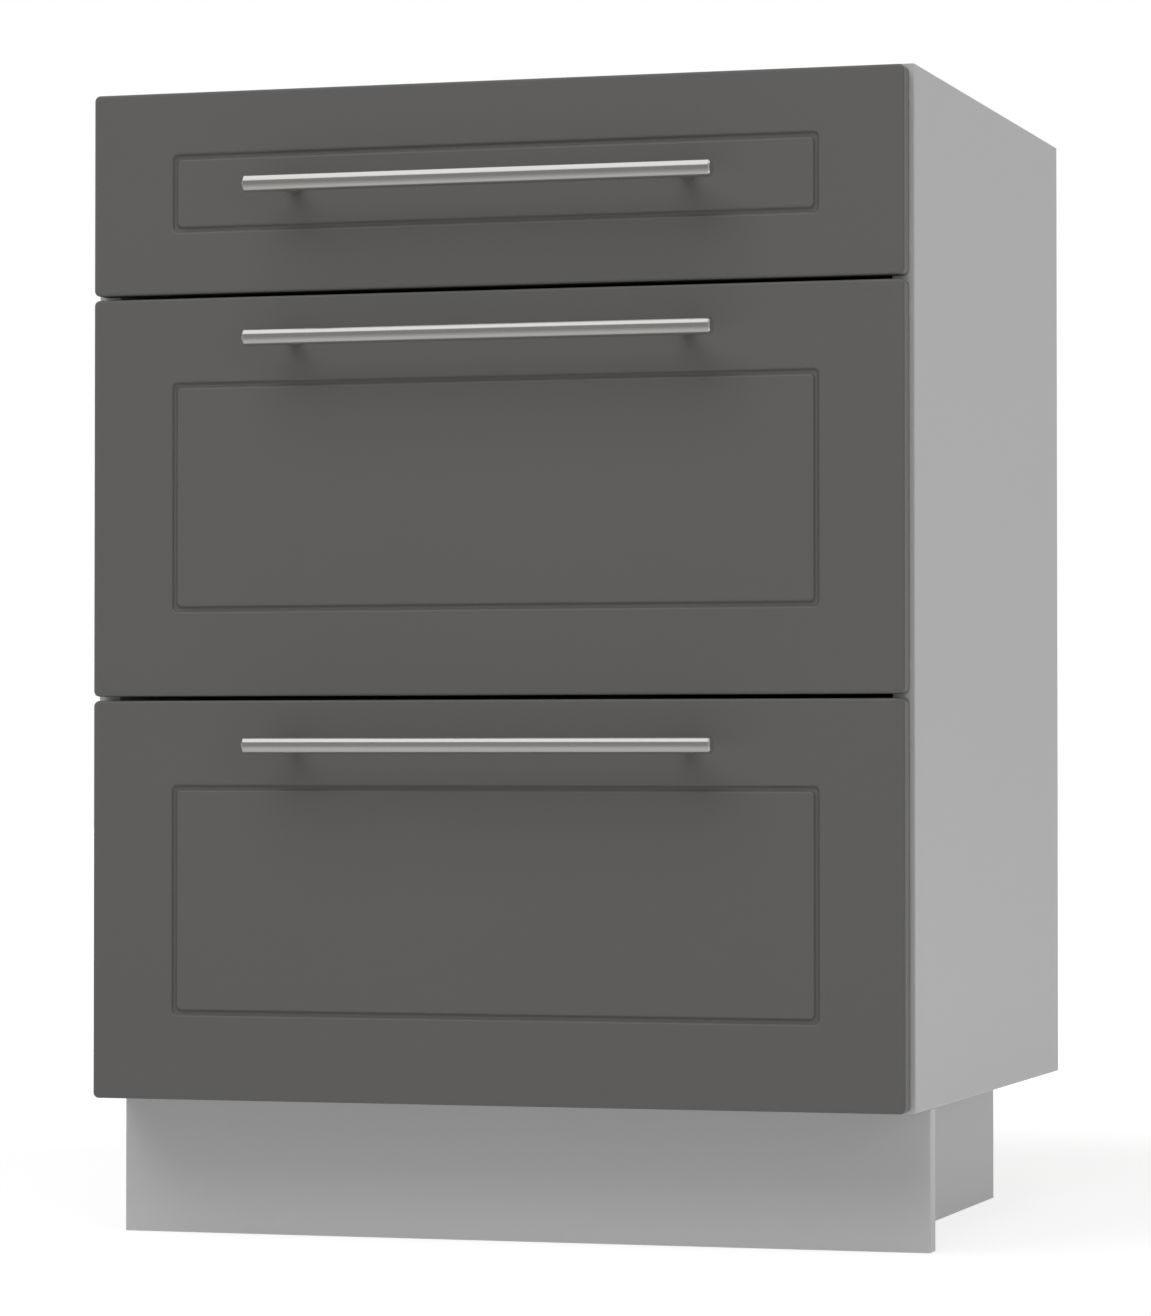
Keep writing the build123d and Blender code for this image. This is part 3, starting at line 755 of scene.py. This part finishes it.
def screw_tree():
    """Countersunk screws with a cross recess, one along each point's direction."""
    sizes = ("Length", "Head radius", "Head height", "Shank radius", "Point", "Recess", "Slot")
    tree, given = start_tree("Countersunk screws", sizes)
    # rings from the head to the point: how far in, and how wide
    length = given["Length"]
    shank = given["Shank radius"]
    before_point = add(tree, MATHS, {0: length, 1: given["Point"]}, operation="SUBTRACT")
    tip = add(tree, MATHS, {0: shank, 1: SCREW_TIP}, operation="MULTIPLY")
    rings = (
        (0.0, given["Head radius"]),
        (given["Head height"], shank),
        (before_point, shank),
        (length, tip),
    )
    index = add(tree, "GeometryNodeInputIndex")
    depth, radius = rings[-1]
    for number, (ring_depth, ring_radius) in enumerate(rings[:-1]):
        here = add(tree, MATHS, {0: index, 1: float(number), 2: SAME}, operation="COMPARE")
        deep = {"Factor_Float": here, "A_Float": depth, "B_Float": ring_depth}
        wide = {"Factor_Float": here, "A_Float": radius, "B_Float": ring_radius}
        depth = add(tree, "ShaderNodeMix", deep)
        radius = add(tree, "ShaderNodeMix", wide)
    down = add(tree, MATHS, {0: depth, 1: -1.0}, operation="MULTIPLY")
    line = add(tree, "GeometryNodeMeshLine", {"Count": len(rings)})
    place = add(tree, "ShaderNodeCombineXYZ", {"Z": down})
    moved = add(tree, "GeometryNodeSetPosition", {"Geometry": line, "Position": place})
    circle = add(
        tree, "GeometryNodeCurvePrimitiveCircle", {"Resolution": SCREW_SIDES, "Radius": 1.0}
    )
    recessed = add(
        tree,
        "GeometryNodeMeshBoolean",
        {"Mesh 1": swept(tree, moved, radius, circle)},
        operation="DIFFERENCE",
        solver="EXACT",
    )
    for x, y in ((given["Recess"], given["Slot"]), (given["Slot"], given["Recess"])):
        size = add(tree, "ShaderNodeCombineXYZ", {"X": x, "Y": y, "Z": given["Head height"]})
        block = add(tree, "GeometryNodeMeshCube", {"Size": size})
        tree.links.new(block.outputs[0], recessed.inputs["Mesh 2"])
    facing = add(
        tree, "GeometryNodeInputNamedAttribute", {"Name": "direction"}, data_type="FLOAT_VECTOR"
    )
    turn = add(tree, "FunctionNodeAlignRotationToVector", {"Vector": facing}, axis="Z")
    placed = add(
        tree,
        "GeometryNodeInstanceOnPoints",
        {"Points": given["Geometry"], "Instance": recessed, "Rotation": turn},
    )
    return end_tree(tree, given, placed)


def grown(tree, start, values):
    """The mesh that a geometry tree makes from a start mesh with these inputs, by name."""
    holder = new_object("holder", start)
    modifier = holder.modifiers.new(tree.name, "NODES")
    modifier.node_group = tree
    for item in tree.interface.items_tree:
        if item.item_type == "SOCKET" and item.in_out == "INPUT" and item.name in values:
            modifier[item.identifier] = values[item.name]
    mesh = evaluated_mesh(holder)
    holder.modifiers.remove(modifier)
    bpy.data.objects.remove(holder)
    return mesh


# ---------------------------------------------------------------- handles
class CABINET_OT_handles(bpy.types.Operator):
    """Makes the brushed bars of the three handles and finishes their posts and screws"""

    bl_idname = "cabinet.handles"
    bl_label = "Handles"

    def execute(self, context):
        handle = context.scene.cabinet_handle
        steel = finish(brushed_stainless_steel)
        tree = bar_tree()
        for drawer in DRAWERS:
            node = f"{drawer}_handle_bar"
            low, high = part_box(node)
            size = high - low
            mesh = grown(
                tree,
                bpy.data.meshes.new(node),
                {
                    "Length": size.x,
                    "Height": size.z,
                    "Thickness": size.y,
                    "Rounding": handle.rounding,
                    "Chamfer": handle.chamfer,
                    "Steps": handle.steps,
                    "Material": steel,
                },
            )
            mesh.transform(Matrix.Translation((low + high) / 2))
            shape = bmesh.new()
            shape.from_mesh(mesh)
            bmesh.ops.remove_doubles(shape, verts=shape.verts, dist=MERGE)
            bmesh.ops.recalc_face_normals(shape, faces=shape.faces)
            make_piece(
                shape,
                f"{node}_round",
                f"{drawer}_drawer",
                [node],
                "handle_steel",
                [steel],
                sharp=30,
            )
            repaint(f"{drawer}_handle_posts", steel)
            repaint(f"{drawer}_handle_screws", finish(bright_zinc_plating))
        return {"FINISHED"}


# ---------------------------------------------------------------- metalwork and fittings
class CABINET_OT_metalwork(bpy.types.Operator):
    """Finishes the runners, the drawer sides, the gallery rails and the front brackets"""

    bl_idname = "cabinet.metalwork"
    bl_label = "Metalwork"

    def execute(self, context):
        for drawer in DRAWERS:
            for side in SIDES:
                repaint(f"{drawer}_runner_{side}", finish(powder_coated_steel))
                repaint(f"{drawer}_drawer_side_{side}", finish(powder_coated_steel))
            repaint(f"{drawer}_front_brackets", finish(bright_zinc_plating))
            if f"{drawer}_gallery_rails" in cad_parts:
                repaint(f"{drawer}_gallery_rails", finish(powder_coated_steel))
        return {"FINISHED"}


class CABINET_OT_rollers(bpy.types.Operator):
    """Finishes the nylon rollers and their axles"""

    bl_idname = "cabinet.rollers"
    bl_label = "Rollers"

    def execute(self, context):
        for drawer in DRAWERS:
            repaint(f"{drawer}_front_rollers", finish(natural_nylon))
            repaint(f"{drawer}_rear_rollers", finish(natural_nylon))
        repaint("front_roller_axles", finish(bright_zinc_plating))
        return {"FINISHED"}


class CABINET_OT_fittings(bpy.types.Operator):
    """Finishes the dowels, the cams, the corner blocks of the plinth and the bumpers"""

    bl_idname = "cabinet.fittings"
    bl_label = "Fittings"

    def execute(self, context):
        repaint("carcass_dowels", finish(turned_beech))
        repaint("cam_fittings", finish(bright_zinc_plating))
        repaint("plinth_blocks", finish(spark_textured_plastic))
        repaint("front_bumpers", finish(spark_textured_plastic))
        return {"FINISHED"}


# ---------------------------------------------------------------- screws
HEAD_SPARE = 0.1 * MM  # allowed over the width of a screw's head, for rounding


def islands(shape):
    """The separate solids of a merged mesh, each as a list of its vertices."""
    seen = set()
    for start in shape.verts:
        if start in seen:
            continue
        seen.add(start)
        island = [start]
        for vertex in island:
            for edge in vertex.link_edges:
                other = edge.other_vert(vertex)
                if other not in seen:
                    seen.add(other)
                    island.append(other)
        yield island


def extent(island):
    """Lowest and highest corner of an island of vertices."""
    low = Vector(min(vertex.co[axis] for vertex in island) for axis in range(3))
    high = Vector(max(vertex.co[axis] for vertex in island) for axis in range(3))
    return low, high


def screw_pose(island):
    """(middle of the head's top, direction out of it, length) of a screw's island."""
    low, high = extent(island)
    size = high - low
    middle = (low + high) / 2
    axis = max(range(3), key=lambda each: size[each])

    def stand_off(vertex):
        away = vertex.co - middle
        away[axis] = 0
        return away.length

    # the head is the wide end, so it holds the vertex that stands off the axis most
    widest = max(island, key=stand_off)
    direction = Vector((0, 0, 0))
    direction[axis] = 1 if widest.co[axis] > middle[axis] else -1
    return middle + direction * size[axis] / 2, direction, size[axis]


class CABINET_OT_screws(bpy.types.Operator):
    """Makes the countersunk screws of the carcass and the drawers, where the frame has them"""

    bl_idname = "cabinet.screws"
    bl_label = "Screws"

    def execute(self, context):
        screw = context.scene.cabinet_screw
        zinc = finish(bright_zinc_plating)
        tree = screw_tree()
        values = {
            "Head radius": screw.head_radius,
            "Head height": screw.head_height,
            "Shank radius": screw.shank_radius,
            "Point": screw.point,
            "Recess": screw.recess,
            "Slot": screw.slot,
            "Material": zinc,
        }
        groups = {"carcass_screws": "carcass"}
        groups.update({f"{drawer}_drawer_fasteners": f"{drawer}_drawer" for drawer in DRAWERS})
        for node, body in groups.items():
            shape = node_mesh(node)
            poses = {}
            spent = []
            for island in islands(shape):
                low, high = extent(island)
                # what is wider than a screw's head every way is a rivet or an axle, and stays
                if min(high - low) > 2 * screw.head_radius + HEAD_SPARE:
                    continue
                head, direction, length = screw_pose(island)
                poses.setdefault(round(length / MM, 1), []).append((head, direction))
                spent += island
            bmesh.ops.delete(shape, geom=spent, context="VERTS")
            for length, places in poses.items():
                points = bpy.data.meshes.new(node)
                points.from_pydata([head for head, _ in places], [], [])
                facing = points.attributes.new("direction", "FLOAT_VECTOR", "POINT")
                for point, (_, direction) in zip(facing.data, places):
                    point.vector = direction
                shape.from_mesh(grown(tree, points, {"Length": length * MM, **values}))
            make_piece(shape, f"{node}_set", body, [node], "zinc_plated_steel", [zinc], sharp=30)
        return {"FINISHED"}


# ---------------------------------------------------------------- stage
WHITE = (1, 1, 1, 1)
FLOOR_WHITENESS = 0.8  # share of the light that the floor throws back on the cabinet
FLOOR_LIFT = 0.76  # the floor's own light, as the camera sees it
FLOOR_SHADOW = 0.35  # share of the lamps' light that the camera sees on it, less in a shadow
FLOOR_FADE = (0.8, 2.0)  # metres from the cabinet's middle, over which the floor turns white
FLOOR_DROP = 0.2 * MM  # the floor lies this far under the plinth, so that they don't coincide
SKY_START, SKY_FULL = 0.15, 0.45  # heights in a direction, 1 long, where the sky's light grows
LAMPS = (
    # name, turn to the right and rise in degrees, distance and size in metres. A lamp's power
    # is the stage's setting of the same name in lower case.
    ("Key", -35, 46, 7, 3.5),
    ("Top", 0, 50, 7, 4.5),
    ("Fill", 40, 10, 6, 3),
)
CARD_LEFT, CARD_RIGHT, CARD_FRONT = -6, 2.5, -6  # metres from the cabinet's middle
UPRIGHT_FOOT, FLAT_LEVEL = 0.02, 0.01  # metres from the floor to upright and to flat cards
# Glowing sheets that are no lamps and that only glossy rays see: painted reflections that give the
# bright steel a dark band round the horizon and a paler band from the floor, and tint the sheen of the
# other finishes.
REFLECTION_CARDS = (
    # name, two opposite corners in metres, and the strength of its glow, which only glossy surfaces
    # see
    ("front_card", (CARD_LEFT, CARD_FRONT, UPRIGHT_FOOT), (CARD_RIGHT, CARD_FRONT, 4.7), 0.24),
    ("side_card", (CARD_RIGHT, CARD_FRONT, UPRIGHT_FOOT), (CARD_RIGHT, 2, 2.6), 0.38),
    ("floor_card_0", (CARD_LEFT, -1.0, FLAT_LEVEL), (CARD_RIGHT, -0.2, FLAT_LEVEL), 0.5),
    ("floor_card_1", (CARD_LEFT, -2.6, FLAT_LEVEL), (CARD_RIGHT, -1.0, FLAT_LEVEL), 0.37),
    ("floor_card_2", (CARD_LEFT, CARD_FRONT, FLAT_LEVEL), (CARD_RIGHT, -2.6, FLAT_LEVEL), 0.26),
)


def emptied(block):
    """The node tree of a world or a material, with nothing in it."""
    block.use_nodes = True
    block.node_tree.nodes.clear()
    return block.node_tree


def shown_directly(tree):
    """1 for rays that see a surface itself: from the camera, in metal and through glass."""
    path = add(tree, "ShaderNodeLightPath").outputs
    seen = {0: path["Is Camera Ray"], 1: path["Is Glossy Ray"]}
    metal = add(tree, MATHS, seen, operation="MAXIMUM")
    return add(tree, MATHS, {0: metal, 1: path["Is Transmission Ray"]}, operation="MAXIMUM")


def light_world(stage):
    """Background that looks white, and an even light from it that is stronger from above."""
    world = bpy.data.worlds.new("Studio")
    bpy.context.scene.world = world
    tree = emptied(world)
    direction = add(tree, "ShaderNodeTexCoord").outputs["Generated"]
    height = add(tree, "ShaderNodeSeparateXYZ", {"Vector": direction}).outputs["Z"]
    growth = {
        "Value": height,
        "From Min": SKY_START,
        "From Max": SKY_FULL,
        "To Min": stage.horizon,
        "To Max": stage.sky,
    }
    strength = add(tree, "ShaderNodeMapRange", growth)
    even = add(tree, "ShaderNodeBackground", {"Color": WHITE, "Strength": strength})
    white = add(tree, "ShaderNodeBackground", {"Color": WHITE, "Strength": 1.0})
    both = add(tree, "ShaderNodeMixShader", {"Fac": shown_directly(tree), 1: even, 2: white})
    add(tree, "ShaderNodeOutputWorld", {"Surface": both})


def lit_floor(stage):
    """Floor lit from beneath, which reads white and keeps a light shadow of the cabinet."""
    material = bpy.data.materials.new("opal_acrylic_floor")
    tree = emptied(material)
    plain = add(tree, "ShaderNodeBsdfDiffuse", {"Color": shaded(WHITE, FLOOR_WHITENESS)})
    glow = add(tree, "ShaderNodeEmission", {"Color": WHITE, "Strength": stage.glow})
    glowing = add(tree, "ShaderNodeAddShader", {0: plain, 1: glow})
    faint = add(tree, "ShaderNodeBsdfDiffuse", {"Color": shaded(WHITE, FLOOR_SHADOW)})
    spot = add(tree, "ShaderNodeTexCoord").outputs["Object"]
    away = find(add(tree, "ShaderNodeVectorMath", {0: spot}, operation="LENGTH").outputs, "Value")
    near, far = FLOOR_FADE
    fade = {"Value": away, "From Min": near, "From Max": far, "To Min": FLOOR_LIFT, "To Max": 1.0}
    strength = add(tree, "ShaderNodeMapRange", fade)
    lift = add(tree, "ShaderNodeEmission", {"Color": WHITE, "Strength": strength})
    lifted = add(tree, "ShaderNodeAddShader", {0: faint, 1: lift})
    both = add(tree, "ShaderNodeMixShader", {"Fac": shown_directly(tree), 1: glowing, 2: lifted})
    add(tree, "ShaderNodeOutputMaterial", {"Surface": both})
    reach = stage.floor_reach
    add_sheet("floor", (-reach, -reach, -FLOOR_DROP), (reach, reach, -FLOOR_DROP), material)


def add_sheet(name, low, high, material):
    """Flat rectangle of the stage between two corners, upright where their heights differ."""
    mesh = bpy.data.meshes.new(name)
    if low[2] == high[2]:
        second, last = (high[0], low[1], low[2]), (low[0], high[1], low[2])
    else:
        second, last = (high[0], high[1], low[2]), (low[0], low[1], high[2])
    mesh.from_pydata([low, second, high, last], [], [(0, 1, 2, 3)])
    mesh.materials.append(material)
    sheet = new_object(name, mesh)
    sheet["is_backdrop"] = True
    return sheet


def add_card(name, low, high, strength):
    """Glowing card that only glossy surfaces show: a painted reflection, which gives bright metal its
    darker bands.
    """
    material = bpy.data.materials.new(name)
    tree = emptied(material)
    # the card's glow, seen only in reflections: a painted reflection
    reflected_glow = add(tree, "ShaderNodeEmission", {"Color": WHITE, "Strength": strength})
    add(tree, "ShaderNodeOutputMaterial", {"Surface": reflected_glow})
    card = add_sheet(name, low, high, material)
    card.visible_camera = False
    card.visible_diffuse = False
    card.visible_shadow = False


def add_lamp(name, turn, rise, away, size, power):
    """Square soft lamp seen from the cabinet's middle at a turn to the right and a rise."""
    lamp = bpy.data.lights.new(name, "AREA")
    lamp.size = size
    lamp.energy = power
    holder = new_object(name, lamp)
    level = math.cos(math.radians(rise))
    direction = Vector(
        (
            math.sin(math.radians(turn)) * level,
            -math.cos(math.radians(turn)) * level,
            math.sin(math.radians(rise)),
        )
    )
    holder.location = (cad_box[0] + cad_box[1]) / 2 + direction * away
    holder.rotation_euler = direction.to_track_quat("Z", "Y").to_euler()
    holder.visible_glossy = False


def photograph_camera(stage):
    """Camera at the photograph's place and angle."""
    camera = bpy.data.cameras.new("Camera")
    camera.lens = camera.sensor_width * FOCAL_PIXELS / PHOTO_HEIGHT
    camera.clip_end = CLIP_END
    holder = new_object("Camera", camera)
    holder.location = stage.camera_place
    holder.rotation_euler = (math.pi / 2 + stage.camera_pitch, 0, stage.camera_yaw)
    bpy.context.scene.camera = holder


class CABINET_OT_stage(bpy.types.Operator):
    """Makes the camera, the lit floor, the soft lamps and the glowing cards of painted reflection"""

    bl_idname = "cabinet.stage"
    bl_label = "Stage"

    def execute(self, context):
        stage = context.scene.cabinet_stage
        context.scene.view_settings.view_transform = "Standard"
        light_world(stage)
        lit_floor(stage)
        for name, turn, rise, away, size in LAMPS:
            add_lamp(name, turn, rise, away, size, getattr(stage, name.lower()))
        # glowing cards that paint reflections in glossy surfaces
        for card in REFLECTION_CARDS:
            add_card(*card)
        photograph_camera(stage)
        return {"FINISHED"}


# ---------------------------------------------------------------- panel and registration
SETTINGS = {
    "cabinet_looks": CABINET_PG_looks,
    "cabinet_front": CABINET_PG_front,
    "cabinet_handle": CABINET_PG_handle,
    "cabinet_screw": CABINET_PG_screw,
    "cabinet_stage": CABINET_PG_stage,
}
OPERATORS = (
    CABINET_OT_boards,
    CABINET_OT_back_panel,
    CABINET_OT_fronts,
    CABINET_OT_handles,
    CABINET_OT_metalwork,
    CABINET_OT_rollers,
    CABINET_OT_fittings,
    CABINET_OT_screws,
    CABINET_OT_stage,
)


class CABINET_PT_panel(bpy.types.Panel):
    """Lists the cabinet's operators and settings"""

    bl_idname = "CABINET_PT_panel"
    bl_label = "Base Cabinet"
    bl_space_type = "VIEW_3D"
    bl_region_type = "UI"
    bl_category = "Cabinet"

    def draw(self, context):
        for operator in OPERATORS:
            self.layout.operator(operator.bl_idname)
        for name, group in SETTINGS.items():
            self.layout.label(text=group.__doc__)
            for key in group.__annotations__:
                self.layout.prop(getattr(context.scene, name), key)


def register():
    for group in SETTINGS.values():
        bpy.utils.register_class(group)
    for name, group in SETTINGS.items():
        setattr(bpy.types.Scene, name, bpy.props.PointerProperty(type=group))
    for entry in (*OPERATORS, CABINET_PT_panel):
        bpy.utils.register_class(entry)


def unregister():
    for entry in (CABINET_PT_panel, *reversed(OPERATORS)):
        bpy.utils.unregister_class(entry)
    for name, group in reversed(SETTINGS.items()):
        delattr(bpy.types.Scene, name)
        bpy.utils.unregister_class(group)


def main():
    """Registers the add-on, makes every piece and the stage, and works out both boxes."""
    register()
    for operator in OPERATORS:
        group, name = operator.bl_idname.split(".")
        getattr(getattr(bpy.ops, group), name)()
    boxes = {"cad": cad_box, "visual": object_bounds()}
    {name: [list(corner) for corner in box] for name, box in boxes.items()}


if __name__ == "__main__":
    main()
